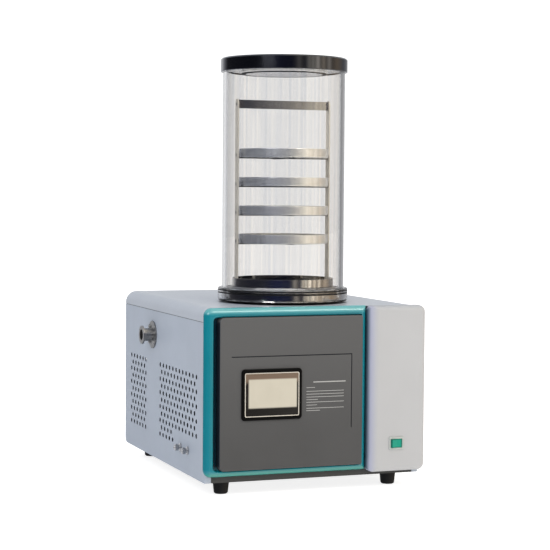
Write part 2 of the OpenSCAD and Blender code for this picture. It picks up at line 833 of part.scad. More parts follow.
// Rubber-faced seat on the deck: it covers the pot's lip and carries the bell
module base_ring() {
  color([0.08, 0.08, 0.08]) on_trap_axis() translate([0, 0, deck_h]) difference() {
    rotate_extrude() polygon([[trap_d / 2, 0], [ring_low_r, 0], [ring_low_r, ring_h - ring_plate_t],
      [flange_r - 1.5, ring_h - ring_plate_t], [flange_r - 1.5, ring_h], [trap_d / 2, ring_h]]);
    translate([0, 0, -cut]) cylinder(r = trap_lip_r + seat_gap, h = cut + trap_wall);
  }
}

// Stainless collar that guides the bell and carries the rack
module trap_collar() {
  r = collar_r;
  color("silver") on_trap_axis() rotate_extrude() polygon([[trap_d / 2, seat_z],
    [r, seat_z], [r, collar_top - 10], [r - 2, collar_top - 8], [r - 2, collar_top - 4],
    [r - 6, collar_top], [trap_d / 2 + 2, collar_top], [trap_d / 2, collar_top - 2]]);
}

// ---------- Bell ----------

module bell_tube() {
  r = bell_d / 2;
  color([0.85, 0.9, 0.95, 0.35]) on_trap_axis() rotate_extrude()
    polygon([[r - bell_t, seat_z + 1], [r - bell_t + 1, seat_z], [r, seat_z],
      [r, cap_bottom + cap_socket], [r - bell_t, cap_bottom + cap_socket]]);
}

// Thick clear foot bonded round the tube, with two grooves for the dark seals
module bell_flange() {
  inner = bell_d / 2;
  color([0.85, 0.9, 0.95, 0.35]) on_trap_axis() difference() {
    rotate_extrude() polygon([[inner, seat_z], [flange_r - 1, seat_z], [flange_r, seat_z + 1],
      [flange_r, seat_z + flange_h - 2], [flange_r - 2, seat_z + flange_h],
      [inner, seat_z + flange_h]]);
    for (rise = seal_rise) translate([0, 0, seat_z + rise - seal_d / 2])
      ring(flange_r + cut, flange_r - 3, seal_d);
  }
}

module bell_seals() {
  color([0.1, 0.1, 0.12]) on_trap_axis() for (rise = seal_rise)
    rotate_extrude() translate([flange_r - 3 + seal_d / 2, seat_z + rise]) circle(d = seal_d - 0.1);
}

// Polished black rim, with a socket for the end of the tube
module cap_ring() {
  outer = bell_d / 2;
  inner = outer - bell_t;
  color([0.08, 0.08, 0.09]) on_trap_axis() rotate_extrude()
    polygon([[outer, cap_bottom], [cap_r - 1, cap_bottom], [cap_r, cap_bottom + 1],
      [cap_r, cap_top - 3], [cap_r - 3, cap_top], [inner, cap_top],
      [inner, cap_bottom + cap_socket], [outer, cap_bottom + cap_socket]]);
}

// Thick clear disc inside the rim, with a boss on its underside
module cap_plate() {
  under = cap_bottom + cap_under;
  r = bell_d / 2 - bell_t;
  color([0.85, 0.9, 0.95, 0.35]) on_trap_axis() rotate_extrude()
    polygon([[0, under - cap_boss_drop], [cap_boss_r - cap_seal_w, under - cap_boss_drop],
      [cap_boss_r - cap_seal_w, under - cap_boss_drop + cap_seal_t],
      [cap_boss_r, under - cap_boss_drop + cap_seal_t], [cap_boss_r, under],
      [r, under], [r, cap_top - 1], [r - 1, cap_top], [0, cap_top]]);
}

// Flat dark seal let into the lower corner of the boss
module cap_seal() {
  color([0.1, 0.1, 0.12]) on_trap_axis() translate([0, 0, cap_bottom + cap_under - cap_boss_drop])
    ring(cap_boss_r, cap_boss_r - cap_seal_w, cap_seal_t);
}

// ---------- Rack and trays ----------

function tray_z(n) = top_tray_z - (tray_count - n) * tray_pitch;

// Heights of the screws in each post: one per tray support and one for the crossbar
function rack_screw_z() = concat([for (n = [1 : tray_count]) tray_z(n) + 5], [bar_z + bar_h / 2]);

module rack_base_ring() {
  r = rack_r;
  color("silver") on_trap_axis() rotate_extrude() polygon([[r - hoop_floor_w, collar_top],
    [r - 1, collar_top], [r, collar_top + 1], [r, collar_top + hoop_h],
    [r - hoop_t, collar_top + hoop_h], [r - hoop_t, collar_top + 2],
    [r - hoop_floor_w, collar_top + 2]]);
}

// Flat post with a round head, its broad side facing the axis
module rack_post(side) {
  low = collar_top + 2;
  color("silver") on_trap_axis() difference() {
    translate([side > 0 ? post_x : -post_x - post_t, 0, 0]) rotate([90, 0, 90])
      linear_extrude(post_t) {
        translate([-post_w / 2, low]) square([post_w, rack_top - post_w / 2 - low]);
        translate([0, rack_top - post_w / 2]) circle(d = post_w);
      }
    for (z = rack_screw_z()) translate([0, 0, z]) rotate([0, side * 90, 0])
      cylinder(d = rack_screw_d / 2, h = rack_r);
  }
}

module rack_post_left() { rack_post(-1); }
module rack_post_right() { rack_post(1); }

// Bar on edge between the posts, with a bent ear at each end
module rack_crossbar() {
  color("silver") on_trap_axis() difference() {
    union() {
      translate([-post_x, -bar_t / 2, bar_z]) cube([2 * post_x, bar_t, bar_h]);
      for (x = [-post_x, post_x - support_t])
        translate([x, -post_w / 2 + 1, bar_z]) cube([support_t, post_w - 2, bar_h]);
    }
    for (side = [-1, 1]) translate([side * (post_x - bar_t), 0, bar_z + bar_h / 2])
      rotate([0, side * 90, 0]) cylinder(d = rack_screw_d / 2, h = 2 * bar_t);
  }
}

module rack_screws() {
  color("gray") on_trap_axis() for (side = [-1, 1], z = rack_screw_z())
    translate([side * (post_x - support_t), 0, z]) rotate([0, side * 90, 0]) {
      cylinder(d = rack_screw_d / 2 - 0.3, h = support_t + post_t);
      translate([0, 0, support_t + post_t]) intersection() {
        cylinder(d = rack_screw_d, h = 2);
        translate([0, 0, -rack_screw_d / 2]) sphere(r = rack_screw_d * 0.78);
      }
    }
}

// Cross of two strips under a tray; the long one turns up into ears on the posts
module tray_support(n) {
  z = tray_z(n);
  color("dimgray") on_trap_axis() difference() {
    union() {
      translate([0, 0, z - support_t]) linear_extrude(support_t) {
        square([2 * post_x, support_w], center = true);
        square([support_w, 2 * support_arm], center = true);
        for (sy = [-1, 1]) translate([0, sy * support_arm]) circle(d = support_w);
      }
      for (x = [-post_x, post_x - support_t]) translate([x, -support_w / 2, z - support_t])
        cube([support_t, support_w, support_tab_h + support_t]);
    }
    for (side = [-1, 1]) translate([side * (post_x - 2 * support_t), 0, z + 5])
      rotate([0, side * 90, 0]) cylinder(d = rack_screw_d / 2, h = 4 * support_t);
  }
}

module tray_support_1() { tray_support(1); }
module tray_support_2() { tray_support(2); }
module tray_support_3() { tray_support(3); }
module tray_support_4() { tray_support(4); }

// Pressed round tray with a beaded rim and a rolled foot corner
module tray(n) {
  r = tray_d / 2;
  foot = 3;
  color("silver") on_trap_axis() translate([0, 0, tray_z(n)]) rotate_extrude() {
    square([r - foot, tray_t]);
    translate([r - foot, foot]) intersection() {
      difference() {
        circle(r = foot);
        circle(r = foot - tray_t);
      }
      translate([0, -foot]) square(foot);
    }
    translate([r - tray_t, foot]) square([tray_t, tray_h - foot - 1.2]);
    translate([r - 1.2, tray_h - 1.2]) circle(r = 1.2);
  }
}

module tray_1() { tray(1); }
module tray_2() { tray(2); }
module tray_3() { tray(3); }
module tray_4() { tray(4); }

// ---------- Refrigeration inside the cabinet ----------

// Hermetic shell on a foot plate, with a welded waist, stubs and a terminal cover
module compressor() {
  r = compressor_d / 2;
  low = pan_top + mount_h;
  can = low + 3;
  color([0.12, 0.12, 0.12]) in_cabinet() translate([compressor_x, compressor_y, 0]) difference() {
    union() {
      translate([0, 0, low]) linear_extrude(3)
        rounded_rect(2 * mount_reach + 26, 2 * mount_reach + 26, 12);
      translate([0, 0, can]) rotate_extrude() polygon([[0, 0], [r * 0.62, 0], [r * 0.86, 8],
        [r * 0.96, 26], [r * 0.96, compressor_h * 0.52], [r, compressor_h * 0.53],
        [r, compressor_h * 0.56], [r * 0.96, compressor_h * 0.57],
        [r * 0.96, compressor_h - 42], [r * 0.86, compressor_h - 18],
        [r * 0.6, compressor_h - 5], [0, compressor_h]]);
      translate([r * 0.5, r * 0.5, can + compressor_h - 30]) cylinder(d = 9, h = 44);
      translate([-r * 0.5, r * 0.5, can + compressor_h - 30]) cylinder(d = 7, h = 44);
      translate([-18, -r - 14, can + 60]) cube([36, r, 50]);
    }
    for (sx = [-1, 1], sy = [-1, 1]) translate([sx * mount_reach, sy * mount_reach, low - cut])
      cylinder(d = 10, h = 3 + 2 * cut);
  }
}

module compressor_mounts() {
  color([0.1, 0.1, 0.1]) in_cabinet() for (sx = [-1, 1], sy = [-1, 1])
    translate([compressor_x + sx * mount_reach, compressor_y + sy * mount_reach, pan_top])
      rotate_extrude() polygon([[3.2, 0], [10, 0], [10, 4], [8, 7], [10, mount_h - 3],
        [10, mount_h], [4.8, mount_h], [4.8, mount_h + 5], [3.2, mount_h + 5]]);
}

// Finned block: plates on three rows of tube between two end plates that stand on the pan
module condenser() {
  fin_pitch = 10;
  fins = floor((condenser_w - 8) / fin_pitch);
  tube_d = 9.5;
  rows = floor(condenser_h / 30);
  color("silver") in_cabinet() translate([fan_x - condenser_w / 2, condenser_y, 0]) {
    for (x = [0, condenser_w - 2]) translate([x, 0, pan_top])
      cube([2, condenser_deep, fan_z + condenser_h / 2 - pan_top]);
    for (i = [1 : fins]) translate([i * fin_pitch, 3, fan_z - condenser_h / 2])
      cube([1, condenser_deep - 6, condenser_h]);
    for (row = [0 : rows - 1]) translate([-6, condenser_deep / 2, fan_z + (row - (rows - 1) / 2) * 30])
      rotate([0, 90, 0]) cylinder(d = tube_d, h = condenser_w + 12);
  }
}

// Square plate on the condenser with the fan's throat and three arms that carry the motor
module fan_shroud() {
  throat = fan_d / 2 + 4;
  color([0.15, 0.15, 0.15]) in_cabinet() translate([fan_x, fan_back_y, fan_z])
    rotate([90, 0, 0]) {
      difference() {
        translate([0, 0, fan_deep - 2]) linear_extrude(2)
          square([2 * throat + 20, condenser_h - 4], center = true);
        translate([0, 0, fan_deep - 2 - cut]) cylinder(r = throat, h = 2 + 2 * cut);
      }
      ring(throat + 2, throat, fan_deep);
      for (i = [0 : 2]) rotate(90 + i * 120) translate([fan_hub_d / 2 + 1, -5, fan_deep - 6])
        cube([throat - fan_hub_d / 2, 10, 3]);
      translate([0, 0, fan_deep - 12]) ring(fan_hub_d / 2 + 4, fan_hub_d / 2 + seat_gap, 9);
    }
}

module fan_motor() {
  color("dimgray") in_cabinet() translate([fan_x, fan_back_y, fan_z]) rotate([90, 0, 0]) {
    translate([0, 0, fan_deep - 20]) cylinder(d = fan_hub_d, h = 19);
    translate([0, 0, 3]) cylinder(d = 8, h = fan_deep - 20);
  }
}

// Hub and pitched blades, cut to the hub and to the sweep circle
module fan_rotor() {
  hub_low = 4;
  hub_h = 14;
  color([0.2, 0.2, 0.22]) in_cabinet() translate([fan_x, fan_back_y, fan_z])
    rotate([90, 0, 0]) difference() {
      union() {
        translate([0, 0, hub_low]) cylinder(d = fan_hub_d - 4, h = hub_h);
        intersection() {
          for (i = [0 : fan_blades - 1]) rotate(i * 360 / fan_blades)
            translate([fan_d / 4, 0, hub_low + hub_h / 2]) rotate([24, 0, 0])
              cube([fan_d / 2, 46, 1.6], center = true);
          translate([0, 0, hub_low - 4]) ring(fan_d / 2, fan_hub_d / 2 - 6, hub_h + 8);
        }
      }
      translate([0, 0, hub_low - 5]) cylinder(d = 8 + 2 * pin_gap, h = hub_h + 10);
    }
}

// ---------- Pipes ----------

// Hollow quarter bend in the XY plane, from +X round to +Y
module pipe_bend(r, outer_d, inner_d) {
  rotate_extrude(angle = 90) translate([r, 0]) difference() {
    circle(d = outer_d);
    circle(d = inner_d);
  }
}

// From the pot's left wall, round towards the back and out to the port
module vacuum_pipe() {
  bend = 22;
  run_x = -side_x + port_inner + bend;
  start_x = trap_x - trap_d / 2 - trap_wall - seat_gap;
  color("silver") in_cabinet() translate([0, 0, port_z]) {
    translate([run_x + bend, trap_y, 0]) rotate([0, 90, 0])
      ring(port_tube_d / 2, port_bore_d / 2, start_x - run_x - bend);
    translate([run_x + bend, trap_y + bend, 0]) rotate(180) pipe_bend(bend, port_tube_d, port_bore_d);
    translate([run_x, trap_y + bend, 0]) rotate([-90, 0, 0])
      ring(port_tube_d / 2, port_bore_d / 2, port_y - trap_y - 2 * bend);
    translate([run_x - bend, port_y - bend, 0]) pipe_bend(bend, port_tube_d, port_bore_d);
  }
}

// From the pot's spout down, forwards and out to the drain valve
module drain_pipe() {
  bend = 12;
  bore = drain_d - 2;
  top = trap_bottom - drain_spout - 0.1;
  valve_x = -side_x + 22;
  color("silver") in_cabinet() {
    translate([trap_x, trap_y, valve_z + bend])
      ring(drain_d / 2, bore / 2, top - valve_z - bend);
    translate([trap_x, trap_y - bend, valve_z + bend]) rotate([0, 90, 0])
      pipe_bend(bend, drain_d, bore);
    translate([trap_x, drain_valve_y + bend, valve_z]) rotate([-90, 0, 0])
      ring(drain_d / 2, bore / 2, trap_y - drain_valve_y - 2 * bend);
    translate([trap_x - bend, drain_valve_y + bend, valve_z]) rotate(-90)
      pipe_bend(bend, drain_d, bore);
    translate([valve_x, drain_valve_y, valve_z]) rotate([0, 90, 0])
      ring(drain_d / 2, bore / 2, trap_x - bend - valve_x);
  }
}

// ---------- Electrics ----------

// Board with its parts, on stand-offs that reach the right side panel
module control_board() {
  board = [1.6, 130, 150];
  x = side_x - sheet_t - 18;
  y = 70;
  z = pan_bottom + 80;
  color([0.1, 0.4, 0.2]) in_cabinet() translate([x, y, z]) {
    difference() {
      cube(board);
      translate([-cut, board[1] / 2, board[2] / 2]) rotate([0, 90, 0]) cylinder(d = 8, h = 4);
    }
    for (sy = [8, board[1] - 8], sz = [8, board[2] - 8])
      translate([board[0], sy, sz]) rotate([0, 90, 0]) cylinder(d = 7, h = 18 - board[0]);
    translate([-32, 14, 16]) cube([32, 46, 40]);
    for (i = [0 : 3]) translate([-16, 76, 14 + i * 24]) cube([16, 28, 18]);
    for (i = [0 : 1]) translate([0, 36, 92 + i * 26]) rotate([0, -90, 0]) cylinder(d = 20, h = 30);
    translate([-12, 14, 138]) cube([12, 100, 9]);
  }
}

// Panel inlet: flange, body behind the panel and a recess with three blades
module panel_socket(z, blade_h) {
  color([0.1, 0.1, 0.1]) in_cabinet() translate([socket_x, body_d, z]) rotate([-90, 0, 0]) {
    difference() {
      union() {
        linear_extrude(socket_lip_t) rounded_rect(32, 25, 3);
        translate([0, 0, -28]) linear_extrude(28) rounded_rect(26.8, 19.8, 2);
      }
      translate([0, 0, -16]) linear_extrude(20) rounded_rect(22, 15, 2.5);
    }
    for (i = [-1 : 1]) translate([i * 6.5 - 1, -2, -17]) cube([2, 4, blade_h]);
  }
}

module power_inlet() { panel_socket(inlet_z, 14); }
module pump_socket() { panel_socket(pump_socket_z, 9); }

// ---------- Parts ----------

base_pan();
left_side_panel();
right_side_panel();
top_cover();
rear_panel();
front_bezel();
front_panel();
column_cover();
screen_housing();
screen_trim();
screen_glass();
switch_frame();
power_rocker();
foot_front_left();
foot_front_right();
foot_rear_left();
foot_rear_right();
foot_screws();
port_plate();
port_nipple();
port_screws();
vent_valve_body();
vent_valve_knob();
drain_valve_body();
drain_valve_knob();
cold_trap_pot();
evaporator_coil();
trap_insulation();
base_ring();
trap_collar();
bell_tube();
bell_flange();
bell_seals();
cap_ring();
cap_plate();
cap_seal();
rack_base_ring();
rack_post_left();
rack_post_right();
rack_crossbar();
rack_screws();
tray_support_1();
tray_support_2();
tray_support_3();
tray_support_4();
tray_1();
tray_2();
tray_3();
tray_4();
compressor();
compressor_mounts();
condenser();
fan_shroud();
fan_motor();
fan_rotor();
vacuum_pipe();
drain_pipe();
control_board();
power_inlet();
pump_socket();
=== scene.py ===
"""Looks of the benchtop freeze dryer: materials, fine trim, studio light and camera."""
import json
import math

import bmesh
import bpy
from mathutils import Matrix, Vector


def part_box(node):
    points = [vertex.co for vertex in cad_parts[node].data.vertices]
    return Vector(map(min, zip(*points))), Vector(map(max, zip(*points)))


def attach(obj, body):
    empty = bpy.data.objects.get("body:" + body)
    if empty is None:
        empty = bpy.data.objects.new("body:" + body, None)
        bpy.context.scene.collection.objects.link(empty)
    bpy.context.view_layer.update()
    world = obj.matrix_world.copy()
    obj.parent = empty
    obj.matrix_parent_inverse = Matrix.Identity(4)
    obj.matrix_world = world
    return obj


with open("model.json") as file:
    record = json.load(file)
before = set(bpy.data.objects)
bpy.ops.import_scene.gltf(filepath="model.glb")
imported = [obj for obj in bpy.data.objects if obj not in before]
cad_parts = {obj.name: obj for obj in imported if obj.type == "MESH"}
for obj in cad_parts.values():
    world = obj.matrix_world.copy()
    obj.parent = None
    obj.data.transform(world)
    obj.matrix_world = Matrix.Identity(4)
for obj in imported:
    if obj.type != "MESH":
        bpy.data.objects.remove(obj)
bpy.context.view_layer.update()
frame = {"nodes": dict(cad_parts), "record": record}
NODES = frame["nodes"]
MM = 0.001

# ---------------------------------------------------------------- materials

# How noise is squeezed along X, Y and Z: lines round an upright axis, lines that run up
# and down, no lines, and the long draw lines of a clear tube
ROUND = (1, 1, 40)
UPRIGHT = (40, 40, 1)
FLAT = (1, 1, 1)
DRAWN = (1, 1, 0.01)
# Grain of the noise, in cells to a metre
SHADE_DRIFT = 9.0
GLOSS_PATCHES = 60.0
POLISHING_LINES = 700.0
DRAW_LINES = 150.0
ACRYLIC_IOR = 1.49


def new_material(name):
    """A fresh node material and its Principled shader."""
    material = bpy.data.materials.new(name)
    material.use_nodes = True
    return material, material.node_tree.nodes["Principled BSDF"]


def link(material, source, target):
    """Joins two sockets of the material."""
    material.node_tree.links.new(source, target)


def add(material, kind, **inputs):
    """A node of that kind, with its unlinked inputs set."""
    node = material.node_tree.nodes.new(kind)
    for key, value in inputs.items():
        node.inputs[key.replace("_", " ")].default_value = value
    return node


def coordinates(material, scale=(1, 1, 1)):
    """Object coordinates in metres, stretched by scale."""
    source = add(material, "ShaderNodeTexCoord")
    mapping = add(material, "ShaderNodeMapping", Scale=scale)
    link(material, source.outputs["Object"], mapping.inputs["Vector"])
    return mapping.outputs["Vector"]


def noise(material, scale, detail=4.0, stretch=FLAT):
    """Smooth noise over the object, 0..1, with scale cells to a metre."""
    node = add(material, "ShaderNodeTexNoise", Scale=scale, Detail=detail)
    link(material, coordinates(material, stretch), node.inputs["Vector"])
    return node.outputs["Fac"]


def spread(material, value, low, high):
    """Maps a 0..1 value onto low..high."""
    node = add(material, "ShaderNodeMapRange")
    node.inputs["To Min"].default_value = low
    node.inputs["To Max"].default_value = high
    link(material, value, node.inputs["Value"])
    return node.outputs["Result"]


def tint(material, shader, value, dark, light):
    """Base colour that wanders between two shades with value."""
    ramp = add(material, "ShaderNodeValToRGB")
    ramp.color_ramp.elements[0].position = 0.3
    ramp.color_ramp.elements[0].color = (*dark, 1)
    ramp.color_ramp.elements[1].position = 0.7
    ramp.color_ramp.elements[1].color = (*light, 1)
    link(material, value, ramp.inputs["Fac"])
    link(material, ramp.outputs["Color"], shader.inputs["Base Color"])


def emboss(material, shader, value, strength, distance):
    """Turns value into a relief of that depth in metres."""
    bump = add(material, "ShaderNodeBump", Strength=strength, Distance=distance)
    link(material, value, bump.inputs["Height"])
    link(material, bump.outputs["Normal"], shader.inputs["Normal"])


def shades(colour, amount):
    """A darker and a lighter shade of a colour."""
    dark = tuple(c * (1 - amount) for c in colour)
    light = tuple(min(1, c * (1 + amount)) for c in colour)
    return dark, light


def grained(name, colour, rough, grain, depth, wander=0.04, coat=0.0, shine=0.5):
    """Paint or moulded plastic: slow shade drift, fine surface grain, uneven gloss."""
    material, shader = new_material(name)
    tint(material, shader, noise(material, SHADE_DRIFT), *shades(colour, wander))
    gloss = spread(material, noise(material, GLOSS_PATCHES), rough - 0.05, rough + 0.05)
    link(material, gloss, shader.inputs["Roughness"])
    emboss(material, shader, noise(material, grain, 3.0), 0.25, depth)
    shader.inputs["Coat Weight"].default_value = coat
    shader.inputs["Coat Roughness"].default_value = 0.08
    shader.inputs["Specular IOR Level"].default_value = shine
    return material


def steel(name, colour, rough, stretch, streak=0.08, metallic=1.0):
    """Metal with polishing lines, which stretch lays out. Below a metallic of 1 it is blasted
    or pickled, and scatters part of the light."""
    material, shader = new_material(name)
    lines = noise(material, POLISHING_LINES, 2.0, stretch)
    tint(material, shader, lines, *shades(colour, streak))
    link(material, spread(material, lines, rough * 0.7, rough * 1.4), shader.inputs["Roughness"])
    emboss(material, shader, lines, 0.12, 0.00005)
    shader.inputs["Metallic"].default_value = metallic
    return material


def clear_acrylic(name, cool, warm):
    """Clear acrylic with faint draw lines, which lets the lamps through to what it covers."""
    material, shader = new_material(name)
    tint(material, shader, noise(material, DRAW_LINES, 3.0, DRAWN), cool, warm)
    shader.inputs["Transmission Weight"].default_value = 1.0
    shader.inputs["IOR"].default_value = ACRYLIC_IOR
    link(material, spread(material, noise(material, 30.0), 0.0, 0.01), shader.inputs["Roughness"])
    clear = add(material, "ShaderNodeBsdfTransparent", Color=(0.95, 0.96, 0.97, 1))
    path = add(material, "ShaderNodeLightPath")
    mix = add(material, "ShaderNodeMixShader")
    link(material, path.outputs["Is Shadow Ray"], mix.inputs[0])
    link(material, shader.outputs["BSDF"], mix.inputs[1])
    link(material, clear.outputs["BSDF"], mix.inputs[2])
    output = material.node_tree.nodes["Material Output"]
    link(material, mix.outputs["Shader"], output.inputs["Surface"])
    return material


def level(material, value, edge, soft, rising=True):
    """0 on one side of edge and 1 on the other, with a soft step between."""
    node = add(material, "ShaderNodeMapRange")
    node.interpolation_type = "SMOOTHSTEP"
    node.inputs["From Min"].default_value = edge - soft
    node.inputs["From Max"].default_value = edge + soft
    node.inputs["To Min"].default_value = 0.0 if rising else 1.0
    node.inputs["To Max"].default_value = 1.0 if rising else 0.0
    link(material, value, node.inputs["Value"])
    return node.outputs["Result"]


def product(material, *values):
    """All the values multiplied together."""
    total = values[0]
    for value in values[1:]:
        node = add(material, "ShaderNodeMath")
        node.operation = "MULTIPLY"
        link(material, total, node.inputs[0])
        link(material, value, node.inputs[1])
        total = node.outputs[0]
    return total


def blend_colours(material, factor, first, second):
    """A mix of two colours, each a colour triple or a socket."""
    node = add(material, "ShaderNodeMix")
    node.data_type = "RGBA"
    link(material, factor, node.inputs["Factor"])
    for socket, colour in (("A", first), ("B", second)):
        if isinstance(colour, tuple):
            node.inputs[socket].default_value = (*colour, 1)
        else:
            link(material, colour, node.inputs[socket])
    return node.outputs["Result"]


def part_of(material, axis):
    """One of the object coordinates, in metres."""
    place = add(material, "ShaderNodeTexCoord")
    split = add(material, "ShaderNodeSeparateXYZ")
    link(material, place.outputs["Object"], split.inputs[0])
    return split.outputs[axis]


def window(material, left, right, foot, head, soft):
    """1 inside an upright rectangle seen from the front, 0 outside it, with soft edges."""
    x, z = part_of(material, "X"), part_of(material, "Z")
    return product(material, level(material, x, left, soft), level(material, x, right, soft, False),
                   level(material, z, foot, soft), level(material, z, head, soft, False))


def touch_screen(name):
    """Black glass over a plain lit display, which leaves a dark band under it, and a painted
    reflection that turns the border brown along its top.
    """
    material, shader = new_material(name)
    low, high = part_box("screen_glass")
    head = high.z - 11.5 * MM
    lit = window(material, low.x + 6.5 * MM, high.x - 3.5 * MM, low.z + 16 * MM, head, 2 * MM)
    glow = blend_colours(material, noise(material, 22.0), (0.44, 0.405, 0.33), (0.54, 0.505, 0.42))
    # Painted reflection: the black border warms to brown along its top band
    painted_reflection_band = level(material, part_of(material, "Z"), head - 6 * MM, 5 * MM)
    border = blend_colours(material, painted_reflection_band, (0.006, 0.005, 0.004), (0.15, 0.105, 0.075))
    link(material, blend_colours(material, lit, border, glow), shader.inputs["Base Color"])
    link(material, spread(material, noise(material, 90.0), 0.05, 0.10), shader.inputs["Roughness"])
    shader.inputs["Coat Weight"].default_value = 0.4
    shader.inputs["Coat Roughness"].default_value = 0.03
    return material


def shaded(material, factor, colour):
    """Turns the base colour towards another colour where factor is 1."""
    shader = material.node_tree.nodes["Principled BSDF"]
    old = shader.inputs["Base Color"].links[0].from_socket
    link(material, blend_colours(material, factor, old, colour), shader.inputs["Base Color"])
    return material


def upright_run(material, node, end):
    """1 along a node's upright sides, 0 within end of its top and its foot."""
    low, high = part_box(node)
    z = part_of(material, "Z")
    return product(material, level(material, z, low.z + end, 4 * MM),
                   level(material, z, high.z - end, 4 * MM, False))


def fascia_grey(name):
    """Panel grey, with painted light that makes it a shade lighter at the top, and painted
    shade, nearly black, on its side returns and in the engraved line."""
    material = grained(name, (0.064, 0.064, 0.065), 0.5, 1400, 0.0001, 0.06, shine=0.25)
    low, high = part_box("front_panel")
    face = low.y
    # Painted light from above: the grey turns lighter towards the top
    painted_top_light = level(material, part_of(material, "Z"), (low.z + high.z) / 2, 150 * MM)
    shaded(material, painted_top_light, (0.086, 0.086, 0.087))
    # Painted shade: nearly black on the side returns and in the engraved line, on faces deeper than
    # the front face, away from the top and foot
    deep = level(material, part_of(material, "Y"), face + 0.8 * MM, 0.3 * MM)
    return shaded(material, product(material, deep, upright_run(material, "front_panel", 8 * MM)),
                  (0.008, 0.013, 0.02))


def fascia_teal(name):
    """Teal moulding with a painted highlight that makes its top roll paler, a painted reflection
    that greens its bottom roll, and painted shade down its inner wall and in its channel.
    """
    material = grained(name, (0.001, 0.175, 0.222), 0.2, 400, 0.00003, 0.05, coat=0.35)
    shader = material.node_tree.nodes["Principled BSDF"]
    shader.inputs["Coat IOR"].default_value = 1.7
    low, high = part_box("front_bezel")
    # Painted highlight: paler teal along the top roll
    painted_top_highlight = level(material, part_of(material, "Z"), high.z - 11 * MM, 5 * MM)
    shaded(material, painted_top_highlight, (0.09, 0.33, 0.35))
    # Painted reflection: a greener teal along the bottom roll
    foot = level(material, part_of(material, "Z"), low.z + 8 * MM, 5 * MM, False)
    shaded(material, foot, (0.02, 0.23, 0.195))
    # Painted shade: near navy down the inner wall and in the channel of the upright sides
    deep = level(material, part_of(material, "Y"), low.y + 8 * MM, 5 * MM)
    inner = level(material, part_of(material, "X"), low.x + 12 * MM, 5 * MM)
    sides = upright_run(material, "front_bezel", 18 * MM)
    return shaded(material, product(material, deep, inner, sides), (0.001, 0.02, 0.035))


def column_paint(name):
    """White moulding with painted shade: a slightly darker line along its top edge, and a rounded
    left edge that turns violet grey and then dark blue.
    """
    material = grained(name, (0.41, 0.412, 0.42), 0.45, 1100, 0.00006, 0.02, shine=0.35)
    low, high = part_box("column_cover")
    x, z = part_of(material, "X"), part_of(material, "Z")
    # Painted shade: a slightly darker, bluer line along the top edge
    shaded(material, level(material, z, high.z - 5 * MM, 5 * MM), (0.37, 0.385, 0.41))
    # Painted shade: violet grey across the rounded left edge
    painted_edge_shade = level(material, x, low.x + 11 * MM, 9 * MM, False)
    shaded(material, painted_edge_shade, (0.38, 0.39, 0.50))
    # Painted shadow: dark blue within a few mm of the left edge, next to the bezel
    painted_edge_shadow = level(material, x, low.x + 3 * MM, 3.5 * MM, False)
    return shaded(material, painted_edge_shadow, (0.03, 0.07, 0.10))


def rocker_cap(name):
    """Lit green rocker, with painted shade that deepens the green towards its rim."""
    material = grained(name, (0.002, 0.27, 0.185), 0.3, 600, 0.00004, shine=0.35)
    low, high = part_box("power_rocker")
    edge = 2.5 * MM
    middle = window(material, low.x + edge, high.x - edge, low.z + edge, high.z - edge, 2 * MM)
    # Painted shade: deeper green round the rim
    rim = add(material, "ShaderNodeMath")
    rim.operation = "SUBTRACT"
    rim.inputs[0].default_value = 1.0
    link(material, middle, rim.inputs[1])
    return shaded(material, rim.outputs[0], (0.002, 0.14, 0.10))


def turned_plate(name):
    """Acrylic lid plate with a matt turned edge on the boss under it."""
    material = clear_acrylic(name, (0.90, 0.90, 0.90), (0.94, 0.935, 0.93))
    shader = material.node_tree.nodes["Principled BSDF"]
    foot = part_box("cap_plate")[0].z
    z = part_of(material, "Z")
    wall = product(material, level(material, z, foot + 0.5 * MM, 0.2 * MM),
                   level(material, z, foot + 5.5 * MM, 0.4 * MM, False))
    link(material, spread(material, wall, 0.01, 0.7), shader.inputs["Roughness"])
    link(material, spread(material, wall, 1.0, 0.25), shader.inputs["Transmission Weight"])
    return material


def tray_steel(name):
    """Satin stainless steel with a painted reflection: dark and cool at one side, bright and warm
    at the other.
    """
    material = steel(name, (1.0, 0.96, 0.89), 0.22, ROUND, 0.07, metallic=0.68)
    low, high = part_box("tray_1")
    # Painted reflection: the warm base colour holds towards higher X and turns dark and cool
    # towards lower X
    cool = level(material, part_of(material, "X"), (low.x + high.x) / 2 - 24 * MM, 56 * MM, False)
    return shaded(material, cool, (0.52, 0.54, 0.585))


def turned_collar(name):
    """Polished collar, with a painted dark reflection on the chamfer round its top."""
    material = steel(name, (0.66, 0.645, 0.63), 0.06, ROUND, 0.05)
    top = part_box("trap_collar")[1].z
    # Painted reflection: the chamfer round the top is darkened
    chamfer = level(material, part_of(material, "Z"), top - 4.5 * MM, 0.4 * MM)
    return shaded(material, chamfer, (0.30, 0.30, 0.31))


def cabinet_paint(name):
    """Powder coat on the side and rear skins, with painted shade, near black, on faces behind the
    outer skin, which darkens the walls of the side vents.
    """
    material = grained(name, (0.355, 0.395, 0.46), 0.42, 900, 0.00008, 0.03, shine=0.4)
    left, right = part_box("left_side_panel")[0].x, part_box("right_side_panel")[1].x
    front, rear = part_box("base_pan")[0].y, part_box("rear_panel")[1].y
    skin = 0.06 * MM
    x, y = part_of(material, "X"), part_of(material, "Y")
    # Painted shade: near black on every face deeper than the outer skin, such as the vent walls
    inside = product(material, level(material, x, left + 2 * skin, skin),
                     level(material, x, right - 2 * skin, skin, False),
                     level(material, y, rear - 2 * MM, skin, False),
                     level(material, y, front + 4 * MM, skin))
    return shaded(material, inside, (0.004, 0.005, 0.007))


